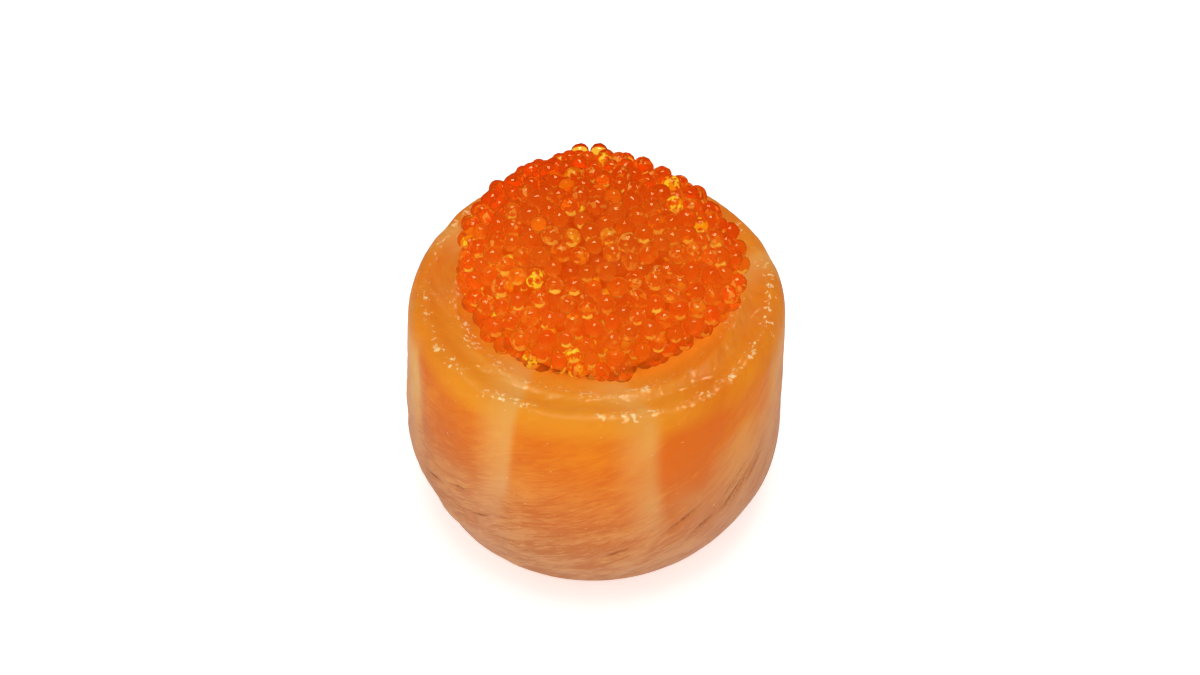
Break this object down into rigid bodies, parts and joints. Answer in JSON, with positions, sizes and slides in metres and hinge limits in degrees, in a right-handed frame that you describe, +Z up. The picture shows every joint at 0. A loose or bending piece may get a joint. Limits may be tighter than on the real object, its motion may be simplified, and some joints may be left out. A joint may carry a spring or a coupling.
{
  "type": "gunkan sushi",
  "caption": "Squat drum of raw salmon wound from a thick strip, with a domed heap of small orange roe set in its top. It stands on its flat underside.",
  "frame": {"origin": "centre of the flat underside", "axes": "+Z up, away from what the piece stands on; the shown side faces -Y; +X is to its right"},
  "size_m": [0.0483, 0.048, 0.0461],
  "materials": {
    "salmon": "moist raw salmon, glossy, pale fat bands across fine orange fibres",
    "roe": "wet translucent orange eggs, very glossy"
  },
  "bodies": {
    "root": {"salmon_wrap": "salmon", "roe_heap": "roe"}
  },
  "joints": []
}
